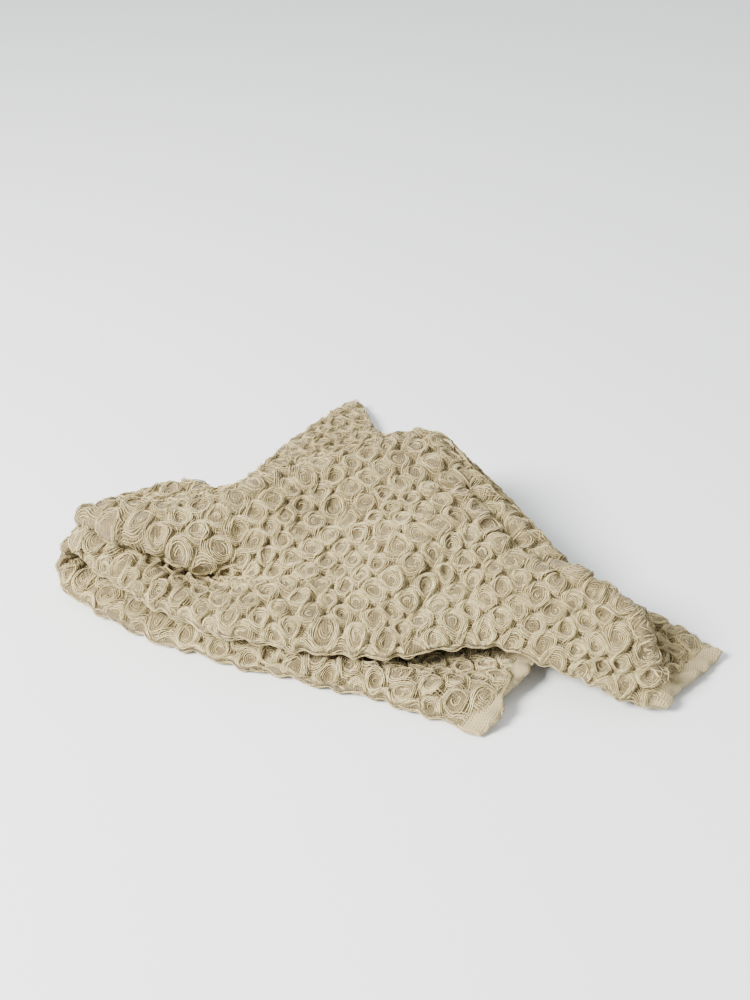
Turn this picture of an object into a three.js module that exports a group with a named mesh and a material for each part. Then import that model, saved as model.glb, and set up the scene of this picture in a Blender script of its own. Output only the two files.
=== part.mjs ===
// Folded waffle kitchen towel, cotton, lying loosely on a table.
// Millimetres, +Z up. The front selvedge faces -Y and the loop of the fold is at -X.
// The towel is one woven sheet. It starts at the hem of its lower layer, runs to the left over
// the table, turns over in a loop and comes back as the upper layer, which stands up in a tent
// and ends at the second hem on the right. The hems are woven in one with the sheet.
import * as THREE from 'three';

// Driving dimensions
const SHEET_THICKNESS = 3.2;
const ROW_STEP = 7.0;
const COLUMN_STEP = 4.2;
const SEAT_DEPTH = 0.5;
const PLAN_MIDDLE = { x: 1, y: -26.9 };

// Each section crosses the cloth from its front selvedge (edge) to its back one (back).
// Points are [x, y, height] of the middle of the sheet, in the plan of the table.

// The lower layer, from the hem at the right to the left. The edge bows up in a soft roll, the
// mid part lies on the table, and the hidden half is bunched up under the tent (hump).
const LOWER_SECTIONS = [
  {
    edge: [30, -119.5, 2], roll: [37.5, -113.5, 3.6], throat: [45.5, -103, 4],
    mid: [47, -94, 7], hump: [55, -68, 13], back: [55, -50, 4],
  },
  {
    edge: [20, -116, 2], roll: [26, -109, 5.2], throat: [33, -100, 3],
    mid: [35, -90, 3], hump: [33, -46, 19], back: [33, -22, 9],
  },
  {
    edge: [0, -108.5, 2], roll: [3, -102.5, 5.8], throat: [6, -93, 2],
    mid: [8, -85, 2], hump: [6, -37, 21], back: [6, -13, 9],
  },
  {
    edge: [-23, -101, 2], roll: [-20, -95, 6.2], throat: [-17, -86, 2],
    mid: [-15, -78, 2], hump: [-18, -41, 20], back: [-18, -19, 8],
  },
  {
    edge: [-54, -87.5, 2], roll: [-51, -82, 6.4], throat: [-47, -73, 2],
    mid: [-44, -66, 2], hump: [-46, -42, 17], back: [-42, -25, 6],
  },
  {
    edge: [-80.5, -73, 2.2], roll: [-77, -68, 6.6], throat: [-72.5, -60, 2.2],
    mid: [-69, -54, 2], hump: [-63, -42, 10], back: [-60, -31, 2.2],
  },
  {
    edge: [-98, -60, 4], roll: [-94, -55, 7.2], throat: [-89, -49.5, 3.2],
    mid: [-86, -46, 2.6], hump: [-81, -39, 6], back: [-76, -31, 2.2],
  },
];

// The upper layer, from the loop at the left to the hem at the right. The lip is the front fold,
// the valley the slit behind it, and the brow the front of the main fold, which leans over it.
// The crest is the ridge of the tent, with a crease (dip) and a lower fold (rear) behind it.
// The foot is where the cloth meets the table again.
const UPPER_SECTIONS = [
  {
    edge: [-98.5, -51.3, 15.5], lip: [-95.2, -51, 20.8], valley: [-91.5, -44.5, 22],
    brow: [-92, -49, 28.2], crest: [-91, -45, 31.5], dip: [-89, -40, 28],
    rear: [-87, -35, 27.5], foot: [-82, -28, 12], back: [-79, -24, 9],
  },
  {
    edge: [-91, -57.5, 14], lip: [-87, -56, 19.6], valley: [-82, -45, 16.5],
    brow: [-85, -55.5, 28], crest: [-83, -48, 32.5], dip: [-80, -40, 28],
    rear: [-78, -35, 28], foot: [-72, -26, 11], back: [-67, -18, 8],
  },
  {
    edge: [-73, -73, 13], lip: [-71.5, -65, 17.5], valley: [-66, -51.5, 12],
    brow: [-69.5, -63, 27], crest: [-69.5, -53, 33], dip: [-67, -42, 28.5],
    rear: [-65, -36, 29], foot: [-59, -21, 8], back: [-56, -8, 4],
  },
  {
    edge: [-58, -83, 12.5], lip: [-58.5, -74.5, 15.8], valley: [-55.5, -60, 12.5],
    brow: [-55, -67, 25], crest: [-55, -53, 34], dip: [-52, -42, 31],
    rear: [-50, -36, 28.5], foot: [-44, -14, 6], back: [-50, 7, 2.4],
  },
  {
    edge: [-44, -89.5, 12.3], lip: [-44, -82, 17], valley: [-43, -68, 16.5],
    brow: [-42, -62, 26], crest: [-40, -48, 36.6], dip: [-38, -40, 34.6],
    rear: [-36, -32, 29.5], foot: [-31, -6, 5], back: [-33, 36, 2.2],
  },
  {
    edge: [-22, -94.5, 12], lip: [-22, -86, 18.5], valley: [-22, -72, 21.5],
    brow: [-22, -57, 28], crest: [-19, -38, 37.8], dip: [-17, -30, 36],
    rear: [-15, -22, 31], foot: [-11, 2, 5], back: [-9, 66, 2.4],
  },
  {
    edge: [4, -97, 12], lip: [4, -88.5, 18.5], valley: [4, -75, 25],
    brow: [5, -54, 33], crest: [8, -27, 40.5], dip: [9, -19, 38],
    rear: [10, -12, 32], foot: [12, 10, 5], back: [4, 38, 2.4],
  },
  {
    edge: [17, -95.5, 12.3], lip: [17, -87.5, 19], valley: [17, -75, 26],
    brow: [17, -52, 34], crest: [18.5, -23, 40.5], dip: [21, -15, 37.5],
    rear: [23, -9, 31], foot: [28, 8, 4], back: [26, 14, 2.2],
  },
  {
    edge: [30, -93.5, 12.8], lip: [30, -87, 18.5], valley: [30, -76, 25],
    brow: [29, -56, 32.5], crest: [29, -33, 37.3], dip: [32, -28, 34.2],
    rear: [35, -23, 31], foot: [43, -6, 5], back: [42, 0, 2.2],
  },
  {
    edge: [48, -97, 12.3], lip: [47.5, -91, 17], valley: [46.5, -83, 22.5],
    brow: [45, -72, 27.5], crest: [43, -62, 29.8], dip: [46, -59.5, 26.6],
    rear: [49.5, -56.5, 26], foot: [57.5, -38, 5], back: [59, -33, 2.2],
  },
  {
    edge: [66.5, -105, 8.5], lip: [66.5, -99.5, 13], valley: [67, -94.5, 16.5],
    brow: [67.5, -88.5, 19.5], crest: [69, -83, 20.8], dip: [72.5, -79, 16.5],
    rear: [77, -75, 13.5], foot: [84, -63, 5], back: [85, -58, 2.2],
  },
  {
    edge: [77, -108, 5], lip: [78, -104.5, 8.5], valley: [79, -101, 12],
    brow: [79.5, -96.5, 14.5], crest: [80.5, -91.5, 15.6], dip: [85.5, -87, 11.5],
    rear: [90.5, -82, 8.6], foot: [98, -75, 3.6], back: [100, -72, 2.2],
  },
  {
    edge: [85.5, -108.8, 2.2], lip: [86.8, -107.8, 3.2], valley: [88.3, -106.2, 4.2],
    brow: [90.3, -104, 4.6], crest: [92.5, -101.3, 4.2], dip: [96.5, -97, 3.4],
    rear: [100.5, -92.5, 3.2], foot: [104, -88.5, 2.8], back: [107, -85.3, 2.2],
  },
];

// How far the loop at the left bulges out, for each of the columns from edge to back.
const LOOP_ANGLES = [36, 72, 108, 144];
const LOOP_BULGES = [
  [-6.5, 2.5, 0], [-6, 3, -1], [-6, 3, -2], [-7, 4, 0], [-7.5, 4, 1.5], [-8, 4, 2],
  [-8, 3, 1], [-8, 1, 0], [-8, 0, 0], [-8, 0, 0], [-8, 0, 0], [-8, 0, 0],
];

// Shallow troughs (depth below nought) and ridges of the upper layer, each along a line in plan.
const SOFT_FOLDS = [
  { from: [-14, -52], to: [-9, -88], height: -2.2, width: 8 },
  { from: [20, -78], to: [8, -90], height: -1.8, width: 7 },
  { from: [10, -72], to: [33, -48], height: 1.6, width: 9 },
  { from: [38, -86], to: [58, -80], height: 1.2, width: 7 },
];
const SOFT_FOLD_START = 15;

const FACE_BULGE = { y: -0.12, z: 0.02 };
const FLAP_REST = 0.6;
const RISE_DELAY = 0.15;
const SPANS_TO_HUMP = 4;

function point(place) {
  return new THREE.Vector3(...place);
}

function between(a, b, share) {
  return a.clone().lerp(b, share);
}

// The twelve columns of a section of the upper layer.
function upperRow(section) {
  const edge = point(section.edge);
  const lip = point(section.lip);
  const valley = point(section.valley);
  const brow = point(section.brow);
  const foot = point(section.foot);
  const back = point(section.back);
  const rise = edge.distanceTo(lip);
  const face = between(edge, lip, 0.5);
  face.y += FACE_BULGE.y * rise;
  face.z += FACE_BULGE.z * rise;
  const flap = between(foot, back, 0.5);
  flap.z = THREE.MathUtils.lerp(foot.z, back.z, FLAP_REST);
  return [
    edge, face, lip, valley, between(valley, brow, 0.5), brow,
    point(section.crest), point(section.dip), point(section.rear), foot, flap, back,
  ];
}

// The twelve columns of a section of the lower layer, with a smooth rise to its hump.
function lowerRow(section) {
  const mid = point(section.mid);
  const hump = point(section.hump);
  const back = point(section.back);
  const row = [point(section.edge), point(section.roll), point(section.throat), mid];
  for (let i = 1; i <= SPANS_TO_HUMP; i += 1) {
    const share = i / SPANS_TO_HUMP;
    const place = between(mid, hump, share);
    const climb = THREE.MathUtils.smoothstep(share, RISE_DELAY, 1);
    place.z = THREE.MathUtils.lerp(mid.z, hump.z, climb);
    row.push(place);
  }
  for (let i = 1; i <= SPANS_TO_HUMP; i += 1) {
    const share = i / SPANS_TO_HUMP;
    const place = between(hump, back, share);
    place.z = THREE.MathUtils.lerp(hump.z, back.z, THREE.MathUtils.smoothstep(share, 0, 1));
    row.push(place);
  }
  return row;
}

// The loop joins the last lower section to the first upper one, a half ellipse in each column.
function loopRow(lower, upper, degrees) {
  const angle = THREE.MathUtils.degToRad(degrees);
  return lower.map((start, column) => {
    const middle = between(start, upper[column], 0.5);
    const arm = start.clone().sub(middle).multiplyScalar(Math.cos(angle));
    const bulge = point(LOOP_BULGES[column]).multiplyScalar(Math.sin(angle));
    return middle.add(arm).add(bulge);
  });
}

function controlRows() {
  const lower = LOWER_SECTIONS.map(lowerRow);
  const upper = UPPER_SECTIONS.map(upperRow);
  const last = lower[lower.length - 1];
  const loop = LOOP_ANGLES.map((degrees) => loopRow(last, upper[0], degrees));
  return [...lower, ...loop, ...upper];
}

function turned(rows) {
  return rows[0].map((_, column) => rows.map((row) => row[column]));
}

// Distances along the cloth at which its rows lie, averaged over the columns.
function knotsOf(rows) {
  const knots = [0];
  for (let i = 1; i < rows.length; i += 1) {
    const gaps = rows[i].map((place, column) => place.distanceTo(rows[i - 1][column]));
    const gap = gaps.reduce((sum, value) => sum + value, 0) / gaps.length;
    knots.push(knots[i - 1] + gap);
  }
  return knots;
}

function slope(a, b, span) {
  return b.clone().sub(a).divideScalar(span);
}

function tangentsOf(rows, knots) {
  const last = rows.length - 1;
  return rows.map((row, i) => row.map((place, column) => {
    if (i === 0) return slope(place, rows[1][column], knots[1] - knots[0]);
    if (i === last) return slope(rows[last - 1][column], place, knots[last] - knots[last - 1]);
    const before = knots[i] - knots[i - 1];
    const after = knots[i + 1] - knots[i];
    const incoming = slope(rows[i - 1][column], place, before).multiplyScalar(after);
    const outgoing = slope(place, rows[i + 1][column], after).multiplyScalar(before);
    return incoming.add(outgoing).divideScalar(before + after);
  }));
}

// A smooth curve through the rows, column by column, with a step of about the given length.
function smoothRows(rows, step) {
  const knots = knotsOf(rows);
  const tangents = tangentsOf(rows, knots);
  const result = [];
  const places = [];
  for (let i = 0; i < rows.length - 1; i += 1) {
    const span = knots[i + 1] - knots[i];
    const steps = Math.max(2, Math.round(span / step));
    const end = i === rows.length - 2 ? steps : steps - 1;
    for (let k = 0; k <= end; k += 1) {
      const t = k / steps;
      const fromStart = (2 * t - 3) * t * t + 1;
      const leaving = ((t - 2) * t + 1) * t * span;
      const toEnd = (3 - 2 * t) * t * t;
      const arriving = (t - 1) * t * t * span;
      result.push(rows[i].map((place, column) => place.clone().multiplyScalar(fromStart)
        .addScaledVector(tangents[i][column], leaving)
        .addScaledVector(rows[i + 1][column], toEnd)
        .addScaledVector(tangents[i + 1][column], arriving)));
      places.push(knots[i] + t * span);
    }
  }
  return { rows: result, places, knots };
}

// Height that a soft fold adds at a place of the plan.
function foldHeight(fold, place) {
  const start = new THREE.Vector2(...fold.from);
  const line = new THREE.Vector2(...fold.to).sub(start);
  const offset = new THREE.Vector2(place.x, place.y).sub(start);
  const share = THREE.MathUtils.clamp(offset.dot(line) / line.lengthSq(), 0, 1);
  const distance = offset.addScaledVector(line, -share).length();
  return fold.height * Math.exp(-((distance / fold.width) ** 2));
}

// The middle surface of the cloth as a grid of points, with the soft folds in it.
function clothGrid() {
  const along = smoothRows(controlRows(), ROW_STEP);
  const across = smoothRows(turned(along.rows), COLUMN_STEP);
  const grid = turned(across.rows);
  const firstUpper = LOWER_SECTIONS.length + LOOP_ANGLES.length;
  const foldsBegin = along.knots[firstUpper];
  grid.forEach((row, i) => {
    const share = THREE.MathUtils.clamp((along.places[i] - foldsBegin) / SOFT_FOLD_START, 0, 1);
    row.forEach((place) => {
      const heights = SOFT_FOLDS.map((fold) => foldHeight(fold, place));
      place.z += share * heights.reduce((sum, value) => sum + value, 0);
    });
  });
  return grid;
}

function normalAt(grid, i, j) {
  const lastRow = grid.length - 1;
  const lastColumn = grid[0].length - 1;
  const alongRow = grid[Math.min(i + 1, lastRow)][j].clone()
    .sub(grid[Math.max(i - 1, 0)][j]);
  const acrossRow = grid[i][Math.min(j + 1, lastColumn)].clone()
    .sub(grid[i][Math.max(j - 1, 0)]);
  return alongRow.cross(acrossRow).normalize();
}

// The underside is pressed flat where the cloth rests on the table.
function settled(place) {
  if (place.z < SEAT_DEPTH) place.z = 0;
  return place;
}

// One closed sheet: an outer face, an inner face and the rim between them.
function sheetGeometry(grid) {
  const rowCount = grid.length;
  const columnCount = grid[0].length;
  const positions = [];
  const indices = [];
  for (const side of [1, -1]) {
    grid.forEach((row, i) => row.forEach((place, j) => {
      const shift = side * SHEET_THICKNESS / 2;
      const surface = settled(place.clone().addScaledVector(normalAt(grid, i, j), shift));
      positions.push(surface.x - PLAN_MIDDLE.x, surface.y - PLAN_MIDDLE.y, surface.z);
    }));
  }
  const outer = (i, j) => i * columnCount + j;
  const inner = (i, j) => rowCount * columnCount + outer(i, j);
  const quad = (a, b, c, d) => indices.push(a, b, c, a, c, d);
  for (let i = 0; i < rowCount - 1; i += 1) {
    for (let j = 0; j < columnCount - 1; j += 1) {
      quad(outer(i, j), outer(i + 1, j), outer(i + 1, j + 1), outer(i, j + 1));
      quad(inner(i, j), inner(i, j + 1), inner(i + 1, j + 1), inner(i + 1, j));
    }
    const last = columnCount - 1;
    quad(outer(i, 0), inner(i, 0), inner(i + 1, 0), outer(i + 1, 0));
    quad(outer(i, last), outer(i + 1, last), inner(i + 1, last), inner(i, last));
  }
  for (let j = 0; j < columnCount - 1; j += 1) {
    const last = rowCount - 1;
    quad(outer(0, j), outer(0, j + 1), inner(0, j + 1), inner(0, j));
    quad(outer(last, j), inner(last, j), inner(last, j + 1), outer(last, j + 1));
  }
  const geometry = new THREE.BufferGeometry();
  geometry.setAttribute('position', new THREE.Float32BufferAttribute(positions, 3));
  geometry.setIndex(indices);
  geometry.computeVertexNormals();
  return geometry;
}

function towel() {
  const oatmealCotton = new THREE.MeshStandardMaterial({
    color: '#cdbfa6', roughness: 0.95, metalness: 0,
  });
  const cloth = new THREE.Mesh(sheetGeometry(clothGrid()), oatmealCotton);
  cloth.name = 'towel';
  return cloth;
}

const part = new THREE.Group();
part.add(towel());

export default part;
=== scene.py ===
import math

import bpy
import numpy as np
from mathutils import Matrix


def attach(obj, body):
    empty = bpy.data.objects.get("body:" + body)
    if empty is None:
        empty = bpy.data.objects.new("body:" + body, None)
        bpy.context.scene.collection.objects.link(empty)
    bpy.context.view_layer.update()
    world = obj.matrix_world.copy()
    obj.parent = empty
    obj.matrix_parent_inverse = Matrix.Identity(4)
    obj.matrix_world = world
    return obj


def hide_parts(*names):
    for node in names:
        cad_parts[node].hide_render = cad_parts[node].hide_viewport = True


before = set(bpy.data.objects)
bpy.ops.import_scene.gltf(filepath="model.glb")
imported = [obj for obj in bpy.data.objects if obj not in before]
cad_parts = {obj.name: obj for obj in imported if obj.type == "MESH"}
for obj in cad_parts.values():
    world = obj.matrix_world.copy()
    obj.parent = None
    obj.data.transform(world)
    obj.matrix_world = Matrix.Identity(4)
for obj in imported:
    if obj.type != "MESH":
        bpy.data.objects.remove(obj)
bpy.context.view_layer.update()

MM = 0.001
CHANCE = np.random.default_rng(73)

# The sheet of cloth, in millimetres

SHEET_THICKNESS = 3.2
PLAN_MIDDLE = np.array([1.0, -26.9, 0.0])

# Each lower row: edge, roll, throat, mid, hump, back
LOWER_SECTIONS = (
    ((30, -119.5, 2), (37.5, -113.5, 3.6), (45.5, -103, 4), (47, -94, 7), (55, -68, 13), (55, -50, 4)),
    ((20, -114, 2), (26, -107.5, 5.2), (33, -100, 3), (35, -90, 3), (33, -46, 19), (33, -22, 9)),
    ((0, -104.8, 2), (3, -99.8, 5.8), (6, -93, 2), (8, -85, 2), (6, -37, 21), (6, -13, 9)),
    ((-23, -97, 2), (-20, -92, 6.2), (-17, -86, 2), (-15, -78, 2), (-18, -41, 20), (-18, -19, 8)),
    ((-54, -86, 2), (-51, -81, 6.4), (-47, -73, 2), (-44, -66, 2), (-46, -42, 17), (-42, -25, 6)),
    ((-80.5, -73, 2.2), (-77, -68, 6.6), (-72.5, -60, 2.2), (-69, -54, 2), (-63, -42, 10), (-60, -31, 2.2)),
    ((-98, -60, 4), (-94, -55, 7.2), (-89, -49.5, 3.2), (-86, -46, 2.6), (-81, -39, 6), (-76, -31, 2.2)),
)
# Each upper row: edge, lip, valley, brow, crest, dip, rear, foot, back
UPPER_SECTIONS = (
    ((-98.5, -51.3, 15.5), (-95.2, -51, 20.8), (-91.5, -44.5, 22), (-92, -49, 25.6), (-91, -45, 27.4),
     (-89, -40, 24), (-87, -35, 22.8), (-82, -28, 11), (-79, -24, 9)),
    ((-91, -57.5, 14), (-87, -56, 19.6), (-82, -45, 16.5), (-85, -55.5, 27), (-83, -48, 30),
     (-80, -40, 26.2), (-78, -35, 25.8), (-72, -26, 11), (-67, -18, 8)),
    ((-73, -73, 13), (-71.5, -65, 17.5), (-66, -51.5, 12), (-69.5, -63, 27), (-69.5, -53, 32),
     (-67, -42, 27.6), (-65, -36, 28), (-59, -21, 8), (-56, -8, 4)),
    ((-58, -83, 12.5), (-58.5, -74.5, 15.8), (-55.5, -60, 12.5), (-55, -67, 25), (-55, -53, 34),
     (-52, -43, 31), (-50, -37, 28), (-45, -19, 5.4), (-50, 7, 2.4)),
    ((-44, -89.5, 12.3), (-44, -82, 17), (-43, -68, 16.5), (-42, -62, 26), (-40, -48, 36.6),
     (-38, -41, 34.4), (-36, -35, 28.6), (-32, -14, 4.8), (-33, 36, 2.2)),
    ((-22, -94.5, 12), (-22, -86, 18.5), (-22, -72, 21.5), (-22, -57, 28), (-19, -38, 37.8),
     (-17, -31, 35.6), (-15.5, -24, 30), (-12, -5, 4.6), (-9, 66, 2.4)),
    ((4, -97, 12), (4, -88.5, 18.5), (4, -75, 25), (5, -54, 33), (8, -27, 40.5),
     (9, -19, 38), (10, -13, 31.6), (12, 5, 4.6), (4, 38, 2.4)),
    ((17, -95.5, 12.3), (17, -87.5, 19), (17, -75, 26), (17, -52, 34), (18.5, -24, 40),
     (21, -16, 36), (23, -10, 30), (28, 8, 4), (26, 14, 2.2)),
    ((30, -93.5, 12.8), (30, -87, 18.5), (30, -76, 25), (29, -56, 32), (29, -35, 35),
     (32, -30, 30.6), (35, -26, 27), (43, -10, 5), (42, 0, 2.2)),
    ((48, -97.5, 10.6), (47.5, -91, 17), (46.5, -83, 22.5), (45, -72, 27.5), (44, -62, 28.6),
     (47, -60, 25), (50.5, -57.5, 24.4), (57, -44, 5), (59, -39, 2.2)),
    ((66.5, -105.5, 6.4), (66.5, -100, 12), (67, -94.5, 17.2), (68.5, -89, 21.8), (70.5, -84.5, 24),
     (74.5, -81.5, 13), (77.5, -78, 8), (82.5, -71, 3.8), (85, -65, 2.2)),
    ((72, -107.3, 5), (72.5, -103, 10), (73.5, -98, 15.4), (75, -92.8, 19.8), (76.8, -89.2, 21.6),
     (80.5, -87, 10), (83.5, -83, 6), (89.5, -75.5, 3.4), (92.5, -71.5, 2.2)),
    ((77, -108.5, 3.8), (77.8, -106, 7.4), (78.6, -103, 11), (79.4, -100, 14.2), (80.6, -97.6, 15.4),
     (84, -95.6, 6.2), (88, -90.5, 4.8), (95.5, -82.5, 3.2), (99.5, -78.5, 2.2)),
    ((81.8, -109, 3), (82.3, -107.6, 5.2), (82.8, -106, 7.2), (83.3, -104.8, 8.4), (84.2, -103.6, 8.6),
     (87, -101.6, 4), (91, -96.5, 3.8), (99, -87.5, 2.9), (103.3, -83, 2.2)),
    ((85.5, -108.8, 2.2), (86.4, -108.2, 3), (87.2, -107.4, 3.5), (88, -106.4, 3.6), (89.2, -105, 3.5),
     (92, -102, 3.2), (96.5, -97.4, 3), (102, -91.6, 2.6), (107, -86.6, 2.2)),
)
LOOP_ANGLES = (36, 72, 108, 144)
LOOP_BULGES = (
    (-6.5, 2.5, 0), (-6, 3, -1), (-6, 3, -2), (-7, 4, 0), (-7.5, 4, 1.5), (-8, 4, 2),
    (-8, 3, 1), (-8, 1, 0), (-8, 0, 0), (-8, 0, 0), (-8, 0, 0), (-8, 0, 0),
)
# Each soft fold: from and to in plan, its height and its width
SOFT_FOLDS = (
    ((-14, -52), (-9, -88), -2.2, 8),
    ((20, -78), (8, -90), -1.8, 7),
    ((10, -72), (33, -48), 1.6, 9),
    ((38, -86), (58, -80), 1.2, 7),
    ((31, -44), (43, -61.5), -4.4, 3.0),
    ((43, -61.5), (57, -77), -5.0, 3.0),
    ((35, -41.5), (47, -59), 1.8, 4.5),
    ((47, -58.6), (60.6, -74.2), 1.8, 4.5),
    ((-60, -33), (-72, -30), 2.4, 4),
)
SOFT_FOLD_START = 15
FACE_BULGE = np.array([0, -0.12, 0.02])
FLAP_REST = 0.6
RISE_DELAY = 0.15
SPANS_TO_HUMP = 4

ROW_COUNT = 890
COLUMN_COUNT = 300
# The last places on the grid that still have a next spot
LAST_ROW = ROW_COUNT - 1.001
LAST_COLUMN = COLUMN_COUNT - 1.001


def mix(a, b, share):
    return a * (1 - share) + b * share


def eased(share):
    return share * share * (3 - 2 * share)


def lower_row(section):
    edge, roll, throat, mid, hump, back = (np.array(p, float) for p in section)
    row = [edge, roll, throat, mid]
    for step in range(1, SPANS_TO_HUMP + 1):
        share = step / SPANS_TO_HUMP
        spot = mix(mid, hump, share)
        spot[2] = mix(mid[2], hump[2], eased(max(0, (share - RISE_DELAY) / (1 - RISE_DELAY))))
        row.append(spot)
    for step in range(1, SPANS_TO_HUMP + 1):
        share = step / SPANS_TO_HUMP
        spot = mix(hump, back, share)
        spot[2] = mix(hump[2], back[2], eased(share))
        row.append(spot)
    return row


def upper_row(section):
    edge, lip, valley, brow, crest, dip, rear, foot, back = (np.array(p, float) for p in section)
    face = mix(edge, lip, 0.5) + FACE_BULGE * np.linalg.norm(lip - edge)
    flap = mix(foot, back, 0.5)
    flap[2] = mix(foot[2], back[2], FLAP_REST)
    return [edge, face, lip, valley, mix(valley, brow, 0.5), brow, crest, dip, rear, foot, flap, back]


def control_rows():
    lower = [lower_row(s) for s in LOWER_SECTIONS]
    upper = [upper_row(s) for s in UPPER_SECTIONS]
    loop = []
    for angle in LOOP_ANGLES:
        turn = math.radians(angle)
        row = []
        for below, above, bulge in zip(lower[-1], upper[0], LOOP_BULGES):
            mid = (below + above) / 2
            row.append(mid + math.cos(turn) * (below - mid) + math.sin(turn) * np.array(bulge, float))
        loop.append(row)
    return np.array(lower + loop + upper)


def knots_of(points, axis):
    steps = np.linalg.norm(np.diff(points, axis=axis), axis=2)
    return np.concatenate([[0], np.cumsum(steps.mean(axis=1 - axis))])


def smooth_rows(points, knots, places, axis):
    p = np.moveaxis(points, axis, 0)
    spans = np.diff(knots)[:, None, None]
    slopes = np.diff(p, axis=0) / spans
    tangents = np.zeros_like(p)
    tangents[1:-1] = (slopes[:-1] * spans[1:] + slopes[1:] * spans[:-1]) / (spans[:-1] + spans[1:])
    tangents[0] = slopes[0]
    tangents[-1] = slopes[-1]
    i = np.clip(np.searchsorted(knots, places, side="right") - 1, 0, len(knots) - 2)
    span = (knots[i + 1] - knots[i])[:, None, None]
    t = ((places - knots[i]) / span[:, 0, 0])[:, None, None]
    start = (2 * t**3 - 3 * t**2 + 1) * p[i] + (t**3 - 2 * t**2 + t) * span * tangents[i]
    end = (3 * t**2 - 2 * t**3) * p[i + 1] + (t**3 - t**2) * span * tangents[i + 1]
    return np.moveaxis(start + end, 0, axis)


def cloth_grid():
    """The middle surface of the sheet, its row places, and where the loop and the upper layer start."""
    controls = control_rows()
    row_knots = knots_of(controls, 0)
    column_knots = knots_of(controls, 1)
    rows = np.linspace(0, row_knots[-1], ROW_COUNT)
    columns = np.linspace(0, column_knots[-1], COLUMN_COUNT)
    grid = smooth_rows(controls, row_knots, rows, 0)
    grid = smooth_rows(grid, column_knots, columns, 1)
    loop_start = row_knots[len(LOWER_SECTIONS) - 1]
    upper_start = row_knots[len(LOWER_SECTIONS) + len(LOOP_ANGLES)]
    share = np.clip((rows - upper_start) / SOFT_FOLD_START, 0, 1)[:, None]
    for start, end, height, width in SOFT_FOLDS:
        start = np.array(start, float)
        run = np.array(end, float) - start
        offset = grid[..., :2] - start
        along = np.clip((offset @ run) / (run @ run), 0, 1)
        away = np.linalg.norm(offset - along[..., None] * run, axis=2)
        grid[..., 2] += share * height * np.exp(-((away / width) ** 2))
    return grid - PLAN_MIDDLE, rows, loop_start, upper_start


GRID, ROWS, LOOP_START, UPPER_START = cloth_grid()
SMOOTHINGS = 6


def grid_normals(grid):
    along = np.gradient(grid, axis=0)
    across = np.gradient(grid, axis=1)
    normal = np.cross(along, across)
    normal /= np.linalg.norm(normal, axis=2, keepdims=True)
    for axis in (0, 1):
        places = np.arange(normal.shape[axis])
        before = np.maximum(places - 1, 0)
        after = np.minimum(places + 1, places[-1])
        for _ in range(SMOOTHINGS):
            beside = np.take(normal, before, axis) + np.take(normal, after, axis)
            normal = normal / 2 + beside / 4
    normal /= np.linalg.norm(normal, axis=2, keepdims=True)
    along /= np.linalg.norm(along, axis=2, keepdims=True)
    across /= np.linalg.norm(across, axis=2, keepdims=True)
    return normal, along, across


NORMALS, ALONG, ACROSS = grid_normals(GRID)

# Measures on the cloth: how far each spot is along the towel and in from its front edge

LOOP_ROW = int(np.searchsorted(ROWS, (LOOP_START + UPPER_START) / 2))


def run_length(grid, axis):
    steps = np.linalg.norm(np.diff(grid, axis=axis), axis=2)
    total = np.cumsum(steps, axis=axis)
    first = np.zeros_like(np.take(total, [0], axis=axis))
    return np.concatenate([first, total], axis=axis)


FROM_START = run_length(GRID, 0)
FROM_FRONT = run_length(GRID, 1)
TO_END = FROM_START[-1:] - FROM_START
TO_BACK = FROM_FRONT[:, -1:] - FROM_FRONT
HEM_AWAY = np.minimum(FROM_START, TO_END)
EDGE_AWAY = np.minimum(FROM_FRONT, TO_BACK)

# The waffle cells: two crossed families, a cell at each whole and each half count

CELL = 9.9
HEM_WIDTH = 5.2
WAVES_A_LENGTH = 4


def wander(x, y, waves, seed):
    """A smooth uneven field: a few sine waves of seeded direction. Each wave is a length and a height."""
    chance = np.random.default_rng(seed)
    total = np.zeros_like(x)
    for length, height in waves:
        for _ in range(WAVES_A_LENGTH):
            turn = chance.uniform(0, math.tau)
            reach = math.tau / (length * chance.uniform(0.75, 1.3))
            ahead = math.cos(turn) * x + math.sin(turn) * y
            total += height * np.sin(reach * ahead + chance.uniform(0, 9))
    return total


FLAT_ROWS = 78
FLAT_COLUMNS = 31
FLAT_ROUNDS = 70
LEAST_WEIGHT = 0.03


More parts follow.
